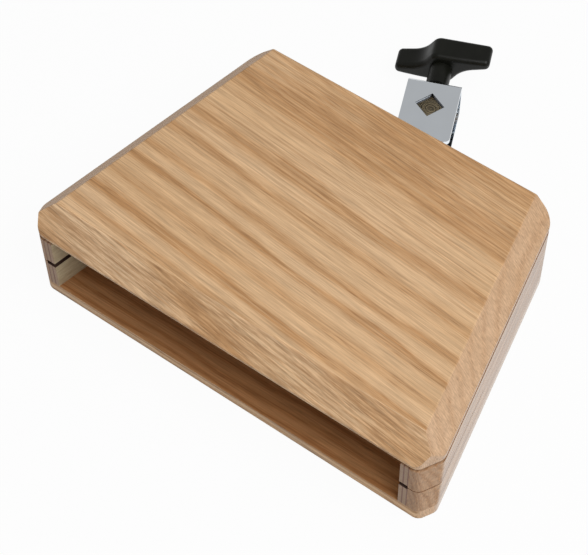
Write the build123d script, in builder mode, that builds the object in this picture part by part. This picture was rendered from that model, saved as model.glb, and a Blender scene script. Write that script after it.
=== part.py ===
"""Woodblock with a swivelling rod clamp, in millimetres.

The origin is the middle of the underside. X runs to the right as seen from the mouth,
Y runs from the mouth to the back, and Z is up.
"""

import os
from math import atan, cos, radians, sin

from build123d import *

os.makedirs("parts", exist_ok=True)

# Block
front_width = 229.4
back_width = 169.8
depth = 144.3
bottom_thickness = 7.0
cavity_height = 35.0
top_thickness = 16.5
side_wall_thickness = 12.5
back_wall_thickness = 14.0
back_corner_radius = 8.0

# Front corners, cut off flat by hand, the right one less deep at the underside
corner_cut_along_front = 9.9
corner_cut_along_side = 13.2
right_low_cut_along_front = 6.3
right_low_cut_along_side = 8.4
front_corner_ease = 5.0

# Edges of the two plates
side_bevel_width = 10.5
side_edge_height = 5.0
front_bevel_width = 11.8
front_lip_height = 4.0
front_lip_ease = 3.0
ridge_ease = 1.2
back_edge_round = 2.0
bottom_edge_round = 0.8

# Plywood liners and the slots between them
liner_thickness = 4.5
liner_gap = 3.0
kerf_height = 0.6
kerf_length = 60.0

# Angle bracket on the back wall
bracket_sheet = 2.5
bracket_bend = 2.5
bracket_width = 44.0
bracket_top = 40.0
bracket_corner_round = 4.0
tongue_root_width = 30.0
tongue_radius = 8.0
pivot_setback = 20.5

# Wood screws in the bracket
wood_screw_radius = 2.0
wood_screw_length = 12.0
wood_screw_head_radius = 3.8
wood_screw_head_height = 2.3
wood_screw_head_bevel = 1.1
wood_screw_spacing_x = 30.0
wood_screw_spacing_z = 16.0
wood_screw_top_margin = 6.0
wood_screw_hole_gap = 0.25

# Swivel bolt and what it clamps
bolt_radius = 3.0
bolt_head_radius = 7.5
bolt_head_height = 2.8
bolt_head_bevel = 1.2
bolt_end_length = 1.2
bolt_hole_gap = 0.2
swivel_washer_radius = 7.5
swivel_washer_thickness = 1.0
pivot_washer_radius = 6.25
pivot_washer_thickness = 1.2
nut_across_flats = 10.0
nut_height = 5.0
nut_thread_gap = 0.05
swivel_play = 0.1

# U clamp
clamp_sheet = 2.5
clamp_bend = 0.6
clamp_width = 27.1
clamp_height = 22.0
clamp_underside = 6.0
clamp_yaw = 22.5
upper_leg_length = 36.8
upper_leg_corner_round = 2.5
pivot_to_rod = 15.8
rod_to_base = 15.9
rod_hole_side = 10.4

# Wing screw, with places counted backwards from the clamp's back face
screw_radius = 4.0
screw_hole_gap = 0.4
running_gap = 0.08
clamp_nut_radius = 6.0
clamp_nut_height = 2.8
hub_start = 4.0
hub_radius = 5.8
hub_length = 12.0
wing_depth = 14.0
screw_seat_in_wing = 8.0
seat_gap = 0.05

# Outline of the two wings, seen along the screw
wing_reach = 24.5
wing_half_height = 9.8
wing_shoulder = 4.6
wing_shoulder_round = 5.0
wing_sweep = 1.2
tip_height = 5.8
tip_rake = 0.7
tip_round = 2.6
scoop_reach = 11.0
scoop_height = 0.6
scoop_round = 14.0
wing_edge_round = 2.6

# Pressure pad on the tip of the screw
pad_radius = 8.0
pad_thickness = 3.5
pad_front = 9.5
pad_edge_bevel = 0.5
neck_radius = 2.5
neck_length = 1.5
neck_gap = 0.08

# Heights and faces of the block
front_y = -depth / 2
back_y = depth / 2
ceiling_z = bottom_thickness + cavity_height
top_z = ceiling_z + top_thickness
slot_z = bottom_thickness + cavity_height / 2
cavity_back_y = back_y - back_wall_thickness
taper = (front_width - back_width) / (2 * depth)
lean = atan(taper)
cut_margin = 20.0

# Heights along the swivel bolt
lower_leg_top = clamp_underside + clamp_sheet
swivel_washer_z = lower_leg_top + swivel_play
tongue_z = swivel_washer_z + swivel_washer_thickness
pivot_washer_z = tongue_z + bracket_sheet
nut_z = pivot_washer_z + pivot_washer_thickness
bolt_head_top = clamp_underside - swivel_play
bolt_end_z = nut_z + nut_height + bolt_end_length
pivot_y = back_y + pivot_setback

# Directions of the clamp
up = Vector(0, 0, 1)
backward = Vector(-sin(radians(clamp_yaw)), cos(radians(clamp_yaw)), 0)
sideways = Vector(cos(radians(clamp_yaw)), sin(radians(clamp_yaw)), 0)
pivot = Vector(0, pivot_y, 0)
base_reach = pivot_to_rod + rod_to_base
clamp_top = clamp_underside + clamp_height
screw_axis_z = clamp_underside + clamp_height / 2


def half_width(y, inset=0.0):
    """Half the block's width at y, measured to a line set in from its side."""
    return front_width / 2 - taper * (y - front_y) - inset / cos(lean)


def block_section(z):
    """Plan of the block at one height."""
    share = z / top_z
    right_along_front = right_low_cut_along_front + share * (corner_cut_along_front - right_low_cut_along_front)
    right_along_side = right_low_cut_along_side + share * (corner_cut_along_side - right_low_cut_along_side)
    right_cut_y = front_y + right_along_side * cos(lean)
    left_cut_y = front_y + corner_cut_along_side * cos(lean)
    with BuildSketch(Plane.XY.offset(z)) as section:
        with BuildLine():
            FilletPolyline(
                (half_width(front_y) - right_along_front, front_y),
                (half_width(right_cut_y), right_cut_y),
                (half_width(back_y), back_y),
                (-half_width(back_y), back_y),
                (-half_width(left_cut_y), left_cut_y),
                (corner_cut_along_front - half_width(front_y), front_y),
                radius=[front_corner_ease] * 2 + [back_corner_radius] * 2 + [front_corner_ease] * 2,
                close=True,
            )
        make_face()
    return section.sketch


def block_slice(low_z, high_z):
    """The block's outside form between two heights."""
    with BuildPart() as piece:
        loft([block_section(low_z), block_section(high_z)], ruled=True)
    return piece.part


def strip_along_side(side, near, far, start_y, end_y):
    """Corners of a strip between two lines set in from one side of the block."""
    return [
        (side * half_width(start_y, near), start_y),
        (side * half_width(end_y, near), end_y),
        (side * half_width(end_y, far), end_y),
        (side * half_width(start_y, far), start_y),
    ]


def bevel_plane(point, outward):
    """Plane across an edge of the top plate: x points outward and y points up."""
    return Plane(origin=point, x_dir=outward, z_dir=outward.cross(up))


def bevel_corners(width, drop):
    """Corners of the wedge that a bevel takes off, reaching past the edge."""
    above = (-width - cut_margin * width / drop, cut_margin)
    outside = (cut_margin, -drop - cut_margin * drop / width)
    return [above, outside, (cut_margin, cut_margin)]


def pivot_plane(z):
    """Level plane centred on the swivel and turned with the clamp."""
    return Plane(origin=pivot + up * z, x_dir=sideways, z_dir=up)


def screw_plane(distance):
    """Plane across the screw, facing forward, behind the clamp's back face."""
    centre = pivot + up * screw_axis_z + backward * (base_reach + distance)
    return Plane(origin=centre, x_dir=sideways, z_dir=backward * -1)


def finish(piece, name):
    """Label a piece and write it."""
    piece.part.label = name
    export_step(piece.part, f"parts/{name}.step")


# Bottom plate, with its lower edge eased
with BuildPart() as bottom_plate:
    add(block_slice(0, bottom_thickness))
    fillet(bottom_plate.faces().sort_by(Axis.Z)[0].edges(), bottom_edge_round)
finish(bottom_plate, "bottom_plate")

# Top plate, bevelled along both sides and the mouth
with BuildPart() as top_plate:
    add(block_slice(ceiling_z, top_z))
    for side in (-1, 1):
        side_edge = Vector(side * half_width(0), 0, top_z)
        with BuildSketch(bevel_plane(side_edge, Vector(side * cos(lean), sin(lean), 0))):
            with BuildLine():
                Polyline(*bevel_corners(side_bevel_width, top_thickness - side_edge_height), close=True)
            make_face()
        extrude(amount=depth, both=True, mode=Mode.SUBTRACT)
    with BuildSketch(bevel_plane(Vector(0, front_y, top_z), Vector(0, -1, 0))):
        with BuildLine():
            Polyline(*bevel_corners(front_bevel_width, top_thickness - front_lip_height), close=True)
        make_face()
    extrude(amount=front_width, both=True, mode=Mode.SUBTRACT)
    back_edge = top_plate.faces().sort_by(Axis.Z)[-1].edges().sort_by(Axis.Y)[-1]
    fillet(back_edge, back_edge_round)
    ridges = top_plate.faces().sort_by(Axis.Z)[-1].edges().sort_by(Axis.Y)[:-1]
    fillet(ridges, ridge_ease)
    lip_edge = top_plate.edges().filter_by(Axis.X).group_by(Axis.Y)[0].sort_by(Axis.Z)[-1]
    fillet(lip_edge, front_lip_ease)
finish(top_plate, "top_plate")

# Side walls, each with a saw kerf from the mouth, and their plywood liners
lined_depth = side_wall_thickness + liner_thickness
liner_height = (cavity_height - liner_gap) / 2
for side, side_name in ((-1, "left"), (1, "right")):
    with BuildPart() as side_wall:
        add(block_slice(bottom_thickness, ceiling_z))
        with BuildSketch(Plane.XY.offset(bottom_thickness)):
            with BuildLine():
                Polyline(
                    *strip_along_side(
                        side, -cut_margin, side_wall_thickness, front_y - cut_margin, back_y + cut_margin
                    ),
                    close=True,
                )
            make_face()
        extrude(amount=cavity_height, mode=Mode.INTERSECT)
        with BuildSketch(Plane.XY.offset(slot_z)):
            with BuildLine():
                Polyline(
                    *strip_along_side(
                        side, -cut_margin, lined_depth, front_y - cut_margin, front_y + kerf_length
                    ),
                    close=True,
                )
            make_face()
        extrude(amount=kerf_height / 2, both=True, mode=Mode.SUBTRACT)
    finish(side_wall, f"{side_name}_side_wall")

    for level, liner_z in (("lower", bottom_thickness), ("upper", slot_z + liner_gap / 2)):
        with BuildPart() as liner:
            with BuildSketch(Plane.XY.offset(liner_z)):
                with BuildLine():
                    Polyline(
                        *strip_along_side(side, side_wall_thickness, lined_depth, front_y, cavity_back_y),
                        close=True,
                    )
                make_face()
            extrude(amount=liner_height)
        finish(liner, f"{side_name}_{level}_liner")

# Places of the wood screws on the back wall, as x and z
screw_top_row = bracket_top - wood_screw_top_margin
wood_screw_places = [
    (side * wood_screw_spacing_x / 2, z)
    for side in (-1, 1)
    for z in (screw_top_row, screw_top_row - wood_screw_spacing_z)
]
back_face = Plane.XZ.offset(-back_y)
bracket_face = Plane.XZ.offset(-back_y - bracket_sheet)

# Back wall, between the side walls, with the screws' pilot holes
with BuildPart() as back_wall:
    with BuildSketch(Plane.XY.offset(bottom_thickness)):
        with BuildLine():
            Polyline(
                (-half_width(cavity_back_y, side_wall_thickness), cavity_back_y),
                (half_width(cavity_back_y, side_wall_thickness), cavity_back_y),
                (half_width(back_y, side_wall_thickness), back_y),
                (-half_width(back_y, side_wall_thickness), back_y),
                close=True,
            )
        make_face()
    extrude(amount=cavity_height)
    with BuildSketch(back_face):
        with Locations(*wood_screw_places):
            Circle(wood_screw_radius)
    extrude(amount=wood_screw_length, mode=Mode.SUBTRACT)
finish(back_wall, "back_wall")

# Angle bracket: a flange on the wall and a tongue with a round end at the swivel
with BuildPart() as mounting_bracket:
    with BuildSketch(Plane.YZ):
        with BuildLine():
            FilletPolyline(
                (back_y, tongue_z),
                (pivot_y + tongue_radius, tongue_z),
                (pivot_y + tongue_radius, tongue_z + bracket_sheet),
                (back_y + bracket_sheet, tongue_z + bracket_sheet),
                (back_y + bracket_sheet, bracket_top),
                (back_y, bracket_top),
                radius=[bracket_bend + bracket_sheet, 0, 0, bracket_bend, 0, 0],
                close=True,
            )
        make_face()
    extrude(amount=bracket_width / 2, both=True)
    with BuildSketch():
        with Locations((0, pivot_y)):
            Circle(tongue_radius)
        with Locations((0, back_y + bracket_sheet)):
            Rectangle(tongue_root_width, 2 * bracket_sheet)
        make_hull()
        with Locations((0, back_y + bracket_sheet / 2)):
            Rectangle(bracket_width, bracket_sheet)
    extrude(amount=bracket_top, mode=Mode.INTERSECT)
    top_corners = mounting_bracket.edges().filter_by(Axis.Y).group_by(Axis.Z)[-1]
    fillet(top_corners, bracket_corner_round)
    with BuildSketch(bracket_face):
        with Locations(*wood_screw_places):
            Circle(wood_screw_radius + wood_screw_hole_gap)
    extrude(amount=bracket_sheet, mode=Mode.SUBTRACT)
    with BuildSketch(pivot_plane(tongue_z)):
        Circle(bolt_radius + bolt_hole_gap)
    extrude(amount=bracket_sheet, mode=Mode.SUBTRACT)
finish(mounting_bracket, "mounting_bracket")

# Four pan head wood screws
with BuildPart() as bracket_screws:
    with BuildSketch(bracket_face):
        with Locations(*wood_screw_places):
            Circle(wood_screw_head_radius)
    extrude(amount=-wood_screw_head_height)
    head_tops = bracket_screws.faces().group_by(Axis.Y)[-1]
    chamfer(head_tops.edges(), wood_screw_head_bevel)
    with BuildSketch(bracket_face):
        with Locations(*wood_screw_places):
            Circle(wood_screw_radius)
    extrude(amount=bracket_sheet + wood_screw_length)
finish(bracket_screws, "bracket_screws")

# Swivel bolt with a low round head under the clamp's lower leg
with BuildPart() as pivot_bolt:
    with BuildSketch(pivot_plane(bolt_head_top)):
        Circle(bolt_head_radius)
    extrude(amount=-bolt_head_height)
    chamfer(pivot_bolt.faces().sort_by(Axis.Z)[0].edges(), bolt_head_bevel)
    with BuildSketch(pivot_plane(bolt_head_top)):
        Circle(bolt_radius)
    extrude(amount=bolt_end_z - bolt_head_top)
finish(pivot_bolt, "pivot_bolt")

# Washers of the swivel
for washer_name, washer_z, washer_radius, washer_thickness in (
    ("swivel_washer", swivel_washer_z, swivel_washer_radius, swivel_washer_thickness),
    ("pivot_washer", pivot_washer_z, pivot_washer_radius, pivot_washer_thickness),
):
    with BuildPart() as washer:
        with BuildSketch(pivot_plane(washer_z)):
            Circle(washer_radius)
            Circle(bolt_radius + bolt_hole_gap, mode=Mode.SUBTRACT)
        extrude(amount=washer_thickness)
    finish(washer, washer_name)

# Nut of the swivel
with BuildPart() as pivot_nut:
    with BuildSketch(pivot_plane(nut_z)):
        RegularPolygon(nut_across_flats / 2, side_count=6, major_radius=False)
        Circle(bolt_radius + nut_thread_gap, mode=Mode.SUBTRACT)
    extrude(amount=nut_height)
finish(pivot_nut, "pivot_nut")

# U clamp: its lower leg turns on the swivel bolt, and a rod goes through both legs
clamp_side = Plane(origin=pivot, x_dir=backward, z_dir=sideways)
upper_leg_front = base_reach - upper_leg_length
with BuildPart() as clamp_bracket:
    with BuildSketch(clamp_side):
        with BuildLine():
            FilletPolyline(
                (0, clamp_underside),
                (base_reach, clamp_underside),
                (base_reach, clamp_top),
                (upper_leg_front, clamp_top),
                (upper_leg_front, clamp_top - clamp_sheet),
                (base_reach - clamp_sheet, clamp_top - clamp_sheet),
                (base_reach - clamp_sheet, lower_leg_top),
                (0, lower_leg_top),
                radius=[0] + [clamp_bend + clamp_sheet] * 2 + [0, 0] + [clamp_bend] * 2 + [0],
                close=True,
            )
        make_face()
    extrude(amount=clamp_width / 2, both=True)
    leg_corners = clamp_bracket.edges().filter_by(Axis.Z).group_by(Axis.Z)[-1]
    fillet(leg_corners, upper_leg_corner_round)
    with BuildSketch(pivot_plane(clamp_underside)):
        Circle(clamp_width / 2)
    extrude(amount=clamp_sheet)
    with BuildSketch(pivot_plane(clamp_underside)):
        Circle(bolt_radius + running_gap)
    extrude(amount=clamp_sheet, mode=Mode.SUBTRACT)
    with BuildSketch(pivot_plane(clamp_underside)):
        with Locations((0, pivot_to_rod)):
            Rectangle(rod_hole_side, rod_hole_side, rotation=45)
    extrude(amount=clamp_height, mode=Mode.SUBTRACT)
    with BuildSketch(screw_plane(0)):
        Circle(screw_radius + screw_hole_gap)
    extrude(amount=clamp_sheet, mode=Mode.SUBTRACT)
finish(clamp_bracket, "clamp_bracket")

# Nut welded to the inside of the clamp's back, in which the screw runs
with BuildPart() as clamp_nut:
    with BuildSketch(screw_plane(-clamp_sheet)):
        Circle(clamp_nut_radius)
        Circle(screw_radius + running_gap, mode=Mode.SUBTRACT)
    extrude(amount=clamp_nut_height)
finish(clamp_nut, "clamp_nut")

# Pressure pad, which turns on the neck of the screw
with BuildPart() as pressure_pad:
    with BuildSketch(screw_plane(pad_thickness - pad_front)):
        Circle(pad_radius)
    extrude(amount=pad_thickness)
    pad_front_face = pressure_pad.faces().sort_by(Axis(pivot, backward))[0]
    chamfer(pad_front_face.edges(), pad_edge_bevel)
    with BuildSketch(screw_plane(pad_thickness - pad_front)):
        Circle(neck_radius + running_gap)
    extrude(amount=neck_length, mode=Mode.SUBTRACT)
finish(pressure_pad, "pressure_pad")

# Screw, from the neck in the pad to its seat in the wings
pad_back = pad_thickness - pad_front
screw_end = hub_start + hub_length + screw_seat_in_wing
with BuildPart() as clamp_screw:
    with BuildSketch(screw_plane(screw_end)):
        Circle(screw_radius)
    extrude(amount=screw_end - pad_back - neck_gap)
    with BuildSketch(screw_plane(pad_back + neck_gap)):
        Circle(neck_radius)
    extrude(amount=neck_length)
finish(clamp_screw, "clamp_screw")

# Wing handle: two swept wings about a round hub
wing_half = [
    (-wing_shoulder, wing_half_height),
    (wing_reach, wing_half_height),
    (wing_reach - tip_rake, wing_half_height - tip_height),
    (scoop_reach, scoop_height),
]
wing_rounds = [wing_shoulder_round, tip_round, tip_round, scoop_round]
wing_front = hub_start + hub_length
wing_level = Plane(origin=screw_plane(0).origin, x_dir=sideways, z_dir=up)
wing_front_radius = (wing_reach**2 + wing_sweep**2) / (2 * wing_sweep)
with BuildPart() as wing_handle:
    with BuildSketch(screw_plane(wing_front + wing_depth)):
        with BuildLine():
            FilletPolyline(
                *wing_half,
                *[(-x, -y) for x, y in wing_half],
                radius=wing_rounds * 2,
                close=True,
            )
        make_face()
    extrude(amount=wing_depth)
    with BuildSketch(wing_level):
        with Locations((0, wing_front + wing_front_radius)):
            Circle(wing_front_radius)
    extrude(amount=wing_reach, both=True, mode=Mode.INTERSECT)
    for end in (-1, 0):
        wing_face = wing_handle.faces().sort_by(Axis(pivot, backward))[end]
        fillet(wing_face.edges(), wing_edge_round)
    with BuildSketch(screw_plane(screw_end)):
        Circle(hub_radius)
    extrude(amount=screw_end - hub_start)
    with BuildSketch(screw_plane(screw_end)):
        Circle(screw_radius + seat_gap)
    extrude(amount=screw_end - hub_start, mode=Mode.SUBTRACT)
finish(wing_handle, "wing_handle")
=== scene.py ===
"""Looks of the woodblock and its rod clamp, in metres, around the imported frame."""

from math import atan, cos, pi, radians, sin

import bpy
from mathutils import Matrix, Vector


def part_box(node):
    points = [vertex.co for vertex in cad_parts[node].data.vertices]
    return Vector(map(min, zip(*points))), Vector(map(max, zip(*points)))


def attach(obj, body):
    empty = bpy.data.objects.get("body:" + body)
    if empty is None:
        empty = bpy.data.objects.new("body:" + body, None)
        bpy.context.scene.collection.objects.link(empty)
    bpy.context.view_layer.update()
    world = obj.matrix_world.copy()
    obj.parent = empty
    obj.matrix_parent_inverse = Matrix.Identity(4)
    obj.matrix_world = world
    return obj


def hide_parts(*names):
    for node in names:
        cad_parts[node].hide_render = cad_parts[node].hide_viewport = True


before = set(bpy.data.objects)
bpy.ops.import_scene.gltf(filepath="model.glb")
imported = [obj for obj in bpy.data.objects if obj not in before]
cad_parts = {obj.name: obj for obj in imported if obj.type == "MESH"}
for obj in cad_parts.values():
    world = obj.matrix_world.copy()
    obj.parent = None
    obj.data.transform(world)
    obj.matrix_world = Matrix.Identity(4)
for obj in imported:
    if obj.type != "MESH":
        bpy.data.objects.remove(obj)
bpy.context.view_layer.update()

# Camera, as fitted to the photograph's straight edges
image_width_px = 588
focal_length_px = 1884.0
sensor_width_mm = 36.0
camera_azimuth = 36.824
camera_elevation = 56.880
camera_roll = -1.135
camera_distance = 0.87277
camera_right = 0.03296
camera_up = 0.05534

# Block
front_width = 0.2294
back_width = 0.1698
depth = 0.1443
side_wall_thickness = 0.0125
side_lean = atan((front_width - back_width) / 2 / depth)
mouth_middle = Vector((0, -depth / 2, 0))

# Heights between which faces get painted shade, and the layers of the plywood, in millimetres
whole_height = (-1, 60)
slot_zone = (22, 27)
ledge_zone = (30, 60)
ply_thickness = 2.3

# Logs that the wood is cut from: the middle's place across the grain and upwards, and the width of a ring,
# in millimetres
top_pith = (58, -41.5)
top_ring_width = 7.7
top_grain_turn = radians(5.4)
bottom_pith = (-20, -60)
bottom_ring_width = 3.6
back_pith = (120, -30)
back_ring_width = 3.4
wall_pith_out = 60
wall_pith_height = -20
wall_ring_width = 3.2
ring_shift = 0.28
bevel_shift = 0.75

# Figure of the wood: length along the grain, width across it, and how many widths it is high
cloud_size = (160, 30, 1)
streak_size = (45, 1.1, 4)
fibre_size = (22, 0.6, 4)
pore_size = (11, 0.5, 4)
line_size = (70, 1.0, 4)
bevel_line_size = (150, 0.9, 2)
bevel_line_share = 0.6

# Waves of the rings: length along the grain, width across it, and amount
ring_waves = ((240, 60, 7), (75, 13, 4.6), (26, 2.4, 2.2), (9, 0.7, 1.4))

# Share of the dark band and of the open pores from one ring to the next
band_curve = ((0, 0), (0.14, 0.35), (0.28, 1), (0.46, 1), (0.64, 0.3), (0.78, 0), (1, 0))
porous_curve = ((0, 0), (0.2, 0.2), (0.3, 1), (0.4, 0.8), (0.56, 0), (1, 0))
plate_end_contrast = 0.15
wall_end_contrast = 0.6

# Finish of the wood
lacquer = 0.8
wall_lacquer = 0.62

# Clamp
clamp_yaw = radians(22.5)
clamp_axis = Vector((-sin(clamp_yaw), cos(clamp_yaw), 0))
pivot_to_rod = 0.0158
pivot_low, pivot_high = (Vector(corner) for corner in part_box("pivot_bolt"))
pivot_middle = (pivot_low + pivot_high) / 2
rod_middle = pivot_middle + pivot_to_rod * clamp_axis
pad_low, pad_high = (Vector(corner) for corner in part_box("pressure_pad"))
pad_middle = (pad_low + pad_high) / 2

# Clamp's sheet, its punched hole and the threads, in millimetres
clamp_sheet = 2.5
clamp_top = 28.0
punched_reach = 9.0
# Share of near-black painted shade across the sheet on the punched hole's torn walls
torn_and_shade_curve = ((0, 1), (0.52, 1), (0.58, 0.8), (0.72, 0.8), (0.78, 1), (1, 1))
bolt_pitch = 1.0
bolt_thread_reach = 3.5
screw_pitch = 1.25
screw_thread_reach = 4.5

# Wood screws, whose profile gives shares of the head's radius and height
screw_head_radius = 0.0038
screw_head_height = 0.0023
screw_shank_radius = 0.00195
screw_tip_share = 0.2
screw_full_share = 0.75
head_profile = ((1.0, 0.0), (1.0, 0.42), (0.93, 0.70), (0.78, 0.89), (0.55, 0.98), (0.3, 1.0))
head_steps = 32
head_turns = (0.2, 1.1, 0.7, 0.45)
recess_reach = 0.0021
recess_width = 0.0009
recess_depth = 0.0014

# Light
ambient_level = 0.45
key_direction = Vector((0.50, -0.04, 0.86))
key_distance = 1.3
key_size = 0.9
key_power = 13.0
floor_tone = 0.6
floor_glow_share = 0.955
floor_size = 8.0
floor_gap = 0.0001

# Colours, in linear light
ash_pale = (0.610, 0.405, 0.232, 1)
ash_warm = (0.580, 0.372, 0.200, 1)
ash_band = (0.455, 0.245, 0.103, 1)
ash_dark = (0.330, 0.165, 0.066, 1)
ash_pore = (0.240, 0.110, 0.040, 1)
# Tint of end grain, also used as painted shade on faces that look downwards
end_grain_and_shade_tint = (0.860, 0.850, 0.920, 1)
# Painted sheen that lightens and cools the faces looking to the front
front_painted_sheen = (1.210, 1.260, 1.340, 1)
no_tint = (1, 1, 1, 1)
wall_tint = (0.740, 0.685, 0.650, 1)
# Painted shade on the cavity's ceiling and floor
cavity_painted_shade = (0.740, 0.550, 0.400, 1)
# Painted shade in the slot between the liners
slot_painted_shade = (0.060, 0.028, 0.018, 1)
# Painted shade on the faces inside the saw kerf of the side walls
kerf_painted_shade = (0.550, 0.450, 0.380, 1)
# Painted shadow on the wall's top ledge under the top plate's lip
ledge_painted_shade = (0.850, 0.860, 0.930, 1)
veneer_pale = (0.560, 0.470, 0.300, 1)
veneer_dark = (0.330, 0.220, 0.130, 1)
veneer_end = (0.370, 0.240, 0.170, 1)
glue_brown = (0.150, 0.055, 0.035, 1)
chrome_tone = (0.870, 0.915, 0.960, 1)
zinc_tone = (0.700, 0.700, 0.680, 1)
# Near-black painted shade on the upright faces round the punched hole
torn_and_shade_tone = (0.020, 0.020, 0.023, 1)
# Painted reflection of the wooden back wall in the pressure pad
pad_reflection_tone = (0.300, 0.240, 0.140, 1)
pad_reflection_dark = (0.050, 0.038, 0.022, 1)
black_tone = (0.0045, 0.0047, 0.0032, 1)
nylon_tone = (0.680, 0.665, 0.610, 1)

# Finish of the metals: tone, lowest and highest roughness, and the size of the haze in millimetres
chrome_finish = (chrome_tone, 0.05, 0.10, 12)
zinc_finish = (zinc_tone, 0.24, 0.36, 1.5)

# Directions
along_grain, to_front, sideways = (1, 0, 0), (0, -1, 0), (0, 1, 0)
up, down = (0, 0, 1), (0, 0, -1)


class Shader:
    """One material's nodes, with short calls that add and link them."""

    def __init__(self, name):
        self.material = bpy.data.materials.new(name)
        self.material.use_nodes = True
        self.nodes = self.material.node_tree.nodes
        self.links = self.material.node_tree.links
        self.surface = self.nodes["Principled BSDF"]
        coordinates = self.add("ShaderNodeTexCoord")
        self.place = coordinates.outputs["Object"]
        self.normal = coordinates.outputs["Normal"]

    def add(self, kind, **settings):
        node = self.nodes.new(kind)
        for key, value in settings.items():
            setattr(node, key, value)
        return node

    def feed(self, socket, value):
        """Link a socket to another one, or set it to a constant."""
        if isinstance(value, bpy.types.NodeSocket):
            self.links.new(value, socket)
        else:
            socket.default_value = value

    def math(self, operation, *values):
        node = self.add("ShaderNodeMath", operation=operation)
        for socket, value in zip(node.inputs, values):
            self.feed(socket, value)
        return node.outputs[0]

    def product(self, first, *others):
        for other in others:
            first = self.math("MULTIPLY", first, other)
        return first

    def between(self, value, low, high):
        """One where a value lies between two others, and zero elsewhere."""
        return self.product(self.math("GREATER_THAN", value, low), self.math("LESS_THAN", value, high))

    def vector(self, operation, *values):
        node = self.add("ShaderNodeVectorMath", operation=operation)
        for socket, value in zip([socket for socket in node.inputs if socket.enabled], values):
            self.feed(socket, value)
        return node.outputs["Value" if operation in ("DOT_PRODUCT", "LENGTH") else "Vector"]

    def turned(self, vector, turn):
        node = self.add("ShaderNodeVectorRotate", rotation_type="Z_AXIS")
        self.feed(node.inputs["Vector"], vector)
        self.feed(node.inputs["Angle"], turn)
        return node.outputs[0]

    def millimetres(self, turn=0.0):
        """The surface's place in millimetres, turned about Z."""
        return self.vector("MULTIPLY", self.turned(self.place, turn), (1000, 1000, 1000))

    def from_point(self, point):
        """The surface's place in millimetres, counted from a point that is given in metres."""
        return self.vector("SUBTRACT", self.millimetres(), tuple(1000 * part for part in point))

    def noise(self, place, detail=2.0, roughness=0.5, output="Fac"):
        node = self.add("ShaderNodeTexNoise")
        self.feed(node.inputs["Vector"], place)
        self.feed(node.inputs["Scale"], 1.0)
        self.feed(node.inputs["Detail"], detail)
        self.feed(node.inputs["Roughness"], roughness)
        return node.outputs[output]

    def noise_along(self, value, detail=1.0):
        node = self.add("ShaderNodeTexNoise", noise_dimensions="1D")
        self.feed(node.inputs["W"], value)
        self.feed(node.inputs["Scale"], 1.0)
        self.feed(node.inputs["Detail"], detail)
        return node.outputs["Fac"]

    def remap(self, value, low, high, to_low=0.0, to_high=1.0):
        node = self.add("ShaderNodeMapRange")
        for socket, number in zip(node.inputs, (value, low, high, to_low, to_high)):
            self.feed(socket, number)
        return node.outputs[0]

    def ramp(self, value, stops):
        """Grey level along straight lines through (place, level) stops."""
        node = self.add("ShaderNodeValToRGB")
        elements = node.color_ramp.elements
        elements[0].position, elements[1].position = stops[0][0], stops[-1][0]
        for position, level in stops[1:-1]:
            elements.new(position)
        for element, (position, level) in zip(elements, stops):
            element.color = (level, level, level, 1)
        self.feed(node.inputs["Fac"], value)
        return node.outputs["Color"]

    def mix(self, factor, first, second, blend="MIX"):
        node = self.add("ShaderNodeMix", data_type="RGBA", blend_type=blend)
        self.feed(node.inputs["Factor"], factor)
        self.feed(node.inputs[6], first)
        self.feed(node.inputs[7], second)
        return node.outputs[2]

    def tinted(self, colour, tint):
        return self.mix(1.0, colour, tint, "MULTIPLY")

    def bump(self, height, distance, strength=1.0):
        node = self.add("ShaderNodeBump")
        self.feed(node.inputs["Height"], height)
        self.feed(node.inputs["Distance"], distance)
        self.feed(node.inputs["Strength"], strength)
        self.feed(self.surface.inputs["Normal"], node.outputs["Normal"])

    def set(self, **values):
        """Set the surface's own sockets, named with underscores for spaces."""
        for key, value in values.items():
            self.feed(self.surface.inputs[key.replace("_", " ")], value)


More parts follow.
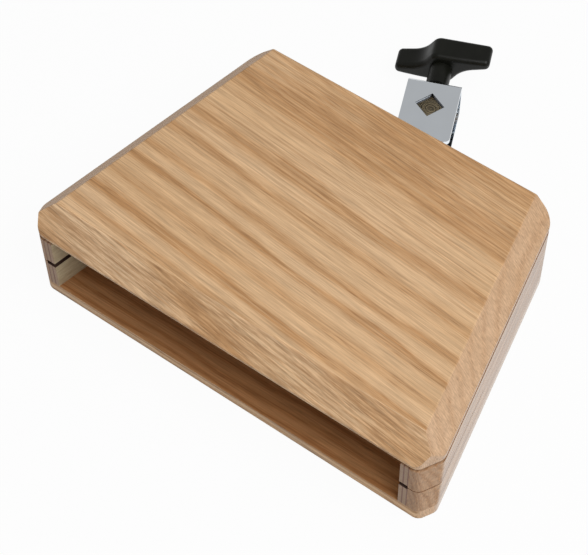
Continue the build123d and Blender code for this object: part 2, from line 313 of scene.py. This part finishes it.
def wood(name, pith, ring_width, turn=0.0, tint=no_tint, polished=along_grain, painted_shades=(), coat=lacquer,
         end_contrast=plate_end_contrast):
    """Ring-porous wood cut from a log whose middle runs along the grain, at pith.

    Faces along polished carry a coat of lacquer. Each painted shade darkens the faces that look one way,
    between two heights.
    """
    s = Shader(name)
    place = s.millimetres(turn)
    facing = s.turned(s.normal, turn)

    def towards(direction):
        return s.vector("DOT_PRODUCT", facing, direction)

    def stretched(along, across, rise=1):
        return s.vector("DIVIDE", place, (along, across, across * rise))

    def wave(along, across, amount):
        shift = s.noise(stretched(along, across), output="Color")
        return s.vector("MULTIPLY", s.vector("SUBTRACT", shift, (0.5, 0.5, 0.5)), (0, amount, amount))

    # Where the surface faces
    front_face = s.remap(towards(to_front), 0.25, 0.5)
    lengthwise = s.math("ABSOLUTE", towards(along_grain))
    # Faces that look downwards count more as end grain, so they get its darker tint as painted shade
    lengthwise = s.product(lengthwise, s.remap(towards(down), 0, 0.6, 1, 1.6))
    end_grain_and_shade = s.remap(lengthwise, 0.35, 0.75)

    # Rings
    in_log = s.vector("SUBTRACT", place, (0, *pith))
    for sizes in ring_waves:
        in_log = s.vector("ADD", in_log, wave(*sizes))
    from_pith = s.vector("MULTIPLY", in_log, (0, 1, 1))
    flat_sawn = s.remap(s.math("ABSOLUTE", towards(s.vector("NORMALIZE", from_pith))), 0.80, 0.98)
    shift = s.remap(front_face, 0, 1, ring_shift, ring_shift + bevel_shift)
    rings = s.math("ADD", s.math("DIVIDE", s.vector("LENGTH", from_pith), ring_width), shift)
    ring = s.math("FRACT", rings)
    strength = s.remap(s.noise_along(s.product(rings, 0.8)), 0.3, 0.7, 0.6, 1.1)
    strength = s.product(strength, s.remap(end_grain_and_shade, 0, 1, 1, end_contrast))

    # Figure along the grain
    streaks = s.remap(s.noise(stretched(*streak_size), 4, 0.65), 0.35, 0.65)
    fibre = s.noise(stretched(*fibre_size), 3, 0.7)
    band = s.ramp(ring, band_curve)
    band_share = s.product(band, strength, s.remap(streaks, 0, 1, 0.55, 1.0))
    porous_share = s.product(s.ramp(ring, porous_curve), strength, s.product(streaks, 0.6))
    pore = s.remap(s.noise(stretched(*pore_size), 1), 0.60, 0.74)
    pore = s.product(pore, s.remap(band, 0, 1, 0.12, 0.55))
    line = s.remap(s.noise(stretched(*line_size), 3, 0.75), 0.50, 0.62)
    line = s.product(line, s.remap(flat_sawn, 0, 1, 0.12, 0.5), s.remap(end_grain_and_shade, 0, 1, 1, 0))
    bevel_line = s.remap(s.noise(stretched(*bevel_line_size), 3, 0.75), 0.44, 0.60)
    bevel_line = s.product(bevel_line, s.product(front_face, s.remap(end_grain_and_shade, 0, 1, bevel_line_share, 0)))

    # Colour
    colour = s.mix(s.remap(s.noise(stretched(*cloud_size)), 0.35, 0.65), ash_pale, ash_warm)
    colour = s.mix(band_share, colour, ash_band)
    colour = s.mix(porous_share, colour, ash_dark)
    colour = s.mix(line, colour, ash_dark)
    # Painted sheen on the faces that look to the front
    colour = s.mix(front_face, colour, s.tinted(colour, front_painted_sheen))
    colour = s.mix(bevel_line, colour, ash_dark)
    colour = s.mix(pore, colour, ash_pore)
    colour = s.tinted(colour, s.remap(fibre, 0.25, 0.75, 0.68, 1.32))
    colour = s.mix(end_grain_and_shade, colour, s.tinted(colour, end_grain_and_shade_tint))
    colour = s.tinted(colour, tint)
    level = s.vector("DOT_PRODUCT", place, up)
    # Painted shade on the faces that look one way, between two heights
    for direction, shade_tint, (low, high) in painted_shades:
        shade_mask = s.product(s.between(level, low, high), s.remap(towards(direction), 0.7, 0.9))
        colour = s.mix(shade_mask, colour, s.tinted(colour, shade_tint))

    # Surface
    s.bump(s.math("SUBTRACT", s.product(fibre, 0.35), pore), 0.00012, 0.4)
    s.set(Base_Color=colour, Roughness=s.remap(fibre, 0.25, 0.75, 0.45, 0.6), Specular_IOR_Level=0.3)
    coated = s.remap(s.math("ABSOLUTE", towards(polished)), 0.88, 0.98, 0, coat)
    s.set(Coat_Weight=coated, Coat_Roughness=0.2)
    return s.material


def plywood(name, side):
    """Thin plywood with its layers parallel to one side wall, and painted shade on the edges along the slot.
    """
    s = Shader(name)
    place = s.millimetres()
    outward = (side * cos(side_lean), sin(side_lean), 0)
    outer_face = 1000 * (front_width / 2 * cos(side_lean) - depth / 2 * sin(side_lean))
    inset = s.math("SUBTRACT", outer_face, s.vector("DOT_PRODUCT", place, outward))
    ply = s.math("DIVIDE", s.math("SUBTRACT", inset, 1000 * side_wall_thickness), ply_thickness)
    glue = s.ramp(s.math("FRACT", ply), ((0, 1), (0.16, 0.9), (0.3, 0), (0.9, 0), (1, 1)))
    figure = s.noise(s.vector("DIVIDE", place, (2.0, 40, 2.0)), 3)
    fibre = s.noise(s.vector("DIVIDE", place, (0.5, 12, 0.5)))
    across = s.noise(s.vector("DIVIDE", place, (0.5, 3, 1.2)), 3)
    inner = s.mix(s.remap(figure, 0.3, 0.7, 0, 0.6), veneer_pale, veneer_dark)
    end = s.mix(s.remap(across, 0.35, 0.65), veneer_end, veneer_dark)
    end = s.mix(s.product(glue, 0.85), end, glue_brown)
    flat = s.math("ABSOLUTE", s.vector("DOT_PRODUCT", s.normal, outward))
    colour = s.mix(s.remap(flat, 0.6, 0.8), end, inner)
    level_face = s.math("ABSOLUTE", s.vector("DOT_PRODUCT", s.normal, up))
    in_slot = s.between(s.vector("DOT_PRODUCT", place, up), *slot_zone)
    # Painted shade on the level faces inside the slot
    colour = s.mix(s.product(in_slot, s.remap(level_face, 0.6, 0.8)), colour, slot_painted_shade)
    colour = s.tinted(colour, s.remap(fibre, 0.25, 0.75, 0.88, 1.12))
    s.bump(fibre, 0.0001, 0.4)
    s.set(Base_Color=colour, Roughness=s.remap(figure, 0.3, 0.7, 0.55, 0.7))
    return s.material


def thread_ridge(s, axis, point, pitch, reach):
    """Height of a thread round an axis, on faces along the axis and nearer to it than reach."""
    offset = s.from_point(point)
    first = axis.orthogonal().normalized()
    directions = (first, axis.cross(first), axis)
    east, north, along = (s.vector("DOT_PRODUCT", offset, direction) for direction in directions)
    turns = s.math("DIVIDE", s.math("ARCTAN2", north, east), 2 * pi)
    ridge = s.math("PINGPONG", s.math("ADD", s.math("DIVIDE", along, pitch), turns), 0.5)
    radius = s.math("SQRT", s.math("ADD", s.math("POWER", east, 2), s.math("POWER", north, 2)))
    steepness = s.math("ABSOLUTE", s.vector("DOT_PRODUCT", s.normal, axis))
    round_face = s.math("LESS_THAN", steepness, 0.5)
    return s.product(ridge, s.product(round_face, s.math("LESS_THAN", radius, reach)))


def plated(name, tone, smooth, rough, haze_size, punched=None, thread=None):
    """Plated steel with faint haze and fine scratches, torn walls in a punched hole coloured near-black as
    painted shade, and a thread, if any.
    """
    s = Shader(name)
    place = s.millimetres()
    haze = s.noise(s.vector("DIVIDE", place, (haze_size,) * 3), 4)
    scratch = s.noise(s.vector("DIVIDE", place, (9, 0.25, 0.25)), 2)
    dull_tone = tuple(0.8 * part for part in tone[:3]) + (1,)
    colour = s.mix(s.remap(haze, 0.3, 0.7, 0.0, 0.18), tone, dull_tone)
    roughness = s.remap(haze, 0.3, 0.7, smooth, rough)
    if punched:
        offset = s.vector("MULTIPLY", s.from_point(punched), (1, 1, 0))
        near = s.math("LESS_THAN", s.vector("LENGTH", offset), punched_reach)
        upright = s.math("LESS_THAN", s.math("ABSOLUTE", s.vector("DOT_PRODUCT", s.normal, up)), 0.5)
        level = s.remap(s.vector("DOT_PRODUCT", place, up), clamp_top - clamp_sheet, clamp_top)
        # Painted shade: upright faces near the punched hole turn near-black, and rougher as torn steel
        torn_and_shade_mask = s.product(s.ramp(level, torn_and_shade_curve), s.product(near, upright))
        colour = s.mix(torn_and_shade_mask, colour, torn_and_shade_tone)
        roughness = s.math("ADD", roughness, s.product(torn_and_shade_mask, 0.3))
    if thread:
        s.bump(thread_ridge(s, *thread), 0.0012, 1.0)
    else:
        s.bump(scratch, 0.00001, 0.25)
    s.set(Base_Color=colour, Metallic=1.0, Roughness=roughness)
    return s.material


def turned_steel(name, axis, middle):
    """Turned steel with the rings that a lathe leaves round an axis through the middle, coloured dark brown
    as a painted reflection of the wooden back wall.
    """
    s = Shader(name)
    offset = s.from_point(middle)
    lengthwise = s.vector("SCALE", axis, s.vector("DOT_PRODUCT", offset, axis))
    radius = s.vector("LENGTH", s.vector("SUBTRACT", offset, lengthwise))
    smear = s.noise(s.vector("DIVIDE", offset, (2.5, 2.5, 2.5)), 3)
    groove = s.noise_along(s.math("ADD", s.product(radius, 1.5), s.product(smear, 2.5)), 3)
    # Painted reflection: the dark and brown rings stand for the wooden back wall seen in the pad
    colour = s.mix(s.remap(groove, 0.42, 0.60), pad_reflection_dark, pad_reflection_tone)
    s.bump(groove, 0.00004, 0.5)
    s.set(Base_Color=colour, Metallic=0.8, Roughness=s.remap(smear, 0.3, 0.7, 0.32, 0.5))
    return s.material


def moulded(name, tone, smooth, rough, grain_size, gloss=0.5):
    """Moulded plastic with a fine even grain."""
    s = Shader(name)
    place = s.millimetres()
    grain = s.noise(s.vector("DIVIDE", place, (grain_size,) * 3), 3)
    cloud = s.noise(s.vector("DIVIDE", place, (9, 9, 9)), 3)
    light_tone = tuple(1.5 * part for part in tone[:3]) + (1,)
    colour = s.mix(s.remap(cloud, 0.3, 0.7), tone, light_tone)
    s.bump(grain, 0.00004, 0.4)
    roughness = s.remap(cloud, 0.3, 0.7, smooth, rough)
    s.set(Base_Color=colour, Roughness=roughness, Specular_IOR_Level=gloss)
    return s.material


def dress(material, *names):
    """Give CAD nodes a material."""
    for name in names:
        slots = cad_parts[name].data.materials
        slots.clear()
        slots.append(material)


def dress_wood():
    """Give the plates, the walls and the liners their wood."""
    # Painted shade on the cavity's ceiling and floor
    ceiling = [(down, cavity_painted_shade, whole_height)]
    dress(wood("ash_top", top_pith, top_ring_width, top_grain_turn, painted_shades=ceiling), "top_plate")
    floor = [(up, cavity_painted_shade, whole_height)]
    dress(wood("ash_bottom", bottom_pith, bottom_ring_width, painted_shades=floor), "bottom_plate")
    dress(wood("ash_back", back_pith, back_ring_width), "back_wall")
    for side, side_name in ((-1, "left"), (1, "right")):
        inward = (0, side, 0)
        # Painted shade in the slot and the kerf, and on the top ledge under the lip
        painted_shades = [
            (inward, slot_painted_shade, slot_zone),
            (up, kerf_painted_shade, slot_zone),
            (down, kerf_painted_shade, slot_zone),
            (up, ledge_painted_shade, ledge_zone),
        ]
        pith = (side * wall_pith_out, wall_pith_height)
        turn = -pi / 2 - side * side_lean
        wall = wood(f"ash_{side_name}", pith, wall_ring_width, turn, wall_tint, sideways, painted_shades,
                    wall_lacquer, wall_end_contrast)
        dress(wall, f"{side_name}_side_wall")
        dress(plywood(f"ply_{side_name}", side), f"{side_name}_upper_liner", f"{side_name}_lower_liner")


def dress_clamp():
    """Give the clamp and its fittings their metals and plastics, and return the zinc."""
    dress(plated("chrome_plate", *chrome_finish, rod_middle), "clamp_bracket")
    dress(plated("chrome_fittings", *chrome_finish), "clamp_nut", "mounting_bracket")
    zinc = plated("zinc_plate", *zinc_finish)
    dress(zinc, "bracket_screws", "pivot_washer", "pivot_nut")
    bolt_thread = (Vector(up), pivot_middle, bolt_pitch, bolt_thread_reach)
    dress(plated("zinc_bolt", *zinc_finish, thread=bolt_thread), "pivot_bolt")
    screw_thread = (clamp_axis, pad_middle, screw_pitch, screw_thread_reach)
    dress(plated("zinc_screw", *zinc_finish, thread=screw_thread), "clamp_screw")
    dress(turned_steel("steel_painted_reflection", clamp_axis, pad_middle), "pressure_pad")
    dress(moulded("black_plastic", black_tone, 0.30, 0.42, 0.35, gloss=0.2), "wing_handle")
    dress(moulded("natural_nylon", nylon_tone, 0.45, 0.55, 0.5), "swivel_washer")
    return zinc


def mesh_object(name, points, faces):
    """Object in the scene with a mesh of its own."""
    mesh = bpy.data.meshes.new(name)
    mesh.from_pydata(points, [], faces)
    body = bpy.data.objects.new(name, mesh)
    bpy.context.collection.objects.link(body)
    return body


def prism(outline, low, high):
    """Mesh object that stands on a flat outline, from one height to another."""
    count = len(outline)
    points = [(x, y, z) for z in (low, high) for x, y in outline]
    walls = [(i, (i + 1) % count, count + (i + 1) % count, count + i) for i in range(count)]
    ends = [tuple(range(count))[::-1], tuple(range(count, 2 * count))]
    return mesh_object("prism", points, ends + walls)


def lathed(rims):
    """Mesh object turned from (radius, height) rims, from the lowest to the highest."""
    turns = [2 * pi * i / head_steps for i in range(head_steps)]
    points = [(wide * cos(turn), wide * sin(turn), high) for wide, high in rims for turn in turns]
    faces = [tuple(range(head_steps))[::-1], tuple(range(len(points) - head_steps, len(points)))]
    for row in range(len(rims) - 1):
        first = row * head_steps
        for i in range(head_steps):
            after = (i + 1) % head_steps
            faces.append((first + i, first + after, first + head_steps + after, first + head_steps + i))
    return mesh_object("wood_screw", points, faces)


def wood_screw(shank_length):
    """Mesh of one pan head screw with a cross recess, whose head stands on the zero level."""
    rims = [(screw_tip_share * screw_shank_radius, -shank_length)]
    rims += [(screw_shank_radius, -screw_full_share * shank_length), (screw_shank_radius, 0)]
    rims += [(screw_head_radius * wide, screw_head_height * high) for wide, high in head_profile]
    screw = lathed(rims)
    arm, half = recess_reach, recess_width / 2
    cross = [(arm, -half), (arm, half), (half, half), (half, arm), (-half, arm), (-half, half), (-arm, half),
             (-arm, -half), (-half, -half), (-half, -arm), (half, -arm), (half, -half)]
    cutter = prism(cross, screw_head_height - recess_depth, 2 * screw_head_height)
    cut = screw.modifiers.new("recess", "BOOLEAN")
    cut.operation = "DIFFERENCE"
    cut.object = cutter
    bpy.context.view_layer.update()
    shaped = bpy.data.meshes.new_from_object(screw.evaluated_get(bpy.context.evaluated_depsgraph_get()))
    for scrap in (screw, cutter):
        bpy.data.objects.remove(scrap)
    return shaped


def wood_screws(material):
    """The four wood screws with cross recesses, each turned its own way, in place of the plain ones."""
    low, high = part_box("bracket_screws")
    screw = wood_screw(high.y - low.y - screw_head_height)
    turns = iter(head_turns)
    points, faces = [], []
    for x in (low.x + screw_head_radius, high.x - screw_head_radius):
        for z in (low.z + screw_head_radius, high.z - screw_head_radius):
            stand = Matrix.Translation((x, high.y - screw_head_height, z)) @ Matrix.Rotation(-pi / 2, 4, "X")
            stand = stand @ Matrix.Rotation(next(turns), 4, "Z")
            first = len(points)
            points += [stand @ vertex.co for vertex in screw.vertices]
            faces += [[first + i for i in face.vertices] for face in screw.polygons]
    heads = mesh_object("wood_screws", points, faces)
    heads.data.materials.append(material)
    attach(heads, "block")
    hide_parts("bracket_screws")


def lit_floor():
    """Pale floor that shows white to the camera, with a soft shadow left on it."""
    bpy.ops.mesh.primitive_plane_add(size=floor_size, location=(0, 0, -floor_gap))
    floor = bpy.context.object
    floor.name = "floor"
    s = Shader("floor_white")
    s.set(Base_Color=(floor_tone, floor_tone, floor_tone, 1), Roughness=0.9, Specular_IOR_Level=0.0)
    path = s.add("ShaderNodeLightPath").outputs
    seen = s.math("MAXIMUM", path["Is Camera Ray"], path["Is Glossy Ray"])
    seen = s.math("MAXIMUM", seen, path["Is Transmission Ray"])
    mixed = s.add("ShaderNodeMixShader")
    s.feed(mixed.inputs["Fac"], s.product(seen, floor_glow_share))
    s.feed(mixed.inputs[1], s.surface.outputs[0])
    s.feed(mixed.inputs[2], s.add("ShaderNodeEmission").outputs[0])
    s.feed(s.nodes["Material Output"].inputs["Surface"], mixed.outputs[0])
    floor.data.materials.append(s.material)


def light_world():
    """Even grey light from all round."""
    world = bpy.data.worlds.new("studio")
    bpy.context.scene.world = world
    world.use_nodes = True
    ambient = world.node_tree.nodes["Background"]
    ambient.inputs["Color"].default_value = (1, 1, 1, 1)
    ambient.inputs["Strength"].default_value = ambient_level


def key_light():
    """Square area lamp that looks at the block."""
    lamp = bpy.data.lights.new("key", "AREA")
    lamp.size = key_size
    lamp.energy = key_power
    holder = bpy.data.objects.new("key", lamp)
    bpy.context.collection.objects.link(holder)
    holder.location = key_direction.normalized() * key_distance
    holder.rotation_euler = key_direction.to_track_quat("Z", "Y").to_euler()


def place_camera():
    """Camera turned about the middle of the mouth's lower edge, and then slid in its own plane."""
    azimuth, elevation, roll = (radians(a) for a in (camera_azimuth, camera_elevation, camera_roll))
    back = Vector((sin(azimuth) * cos(elevation), -cos(azimuth) * cos(elevation), sin(elevation)))
    level = Vector((cos(azimuth), sin(azimuth), 0))
    steep = back.cross(level)
    right = level * cos(roll) + steep * sin(roll)
    above = steep * cos(roll) - level * sin(roll)
    lens = bpy.data.cameras.new("camera")
    lens.sensor_width = sensor_width_mm
    lens.lens = sensor_width_mm * focal_length_px / image_width_px
    camera = bpy.data.objects.new("camera", lens)
    bpy.context.collection.objects.link(camera)
    camera.matrix_world = Matrix((right, above, back)).transposed().to_4x4()
    camera.location = mouth_middle + right * camera_right + above * camera_up + back * camera_distance
    bpy.context.scene.camera = camera


dress_wood()
wood_screws(dress_clamp())
lit_floor()
light_world()
key_light()
place_camera()
bpy.context.scene.view_settings.view_transform = "Standard"
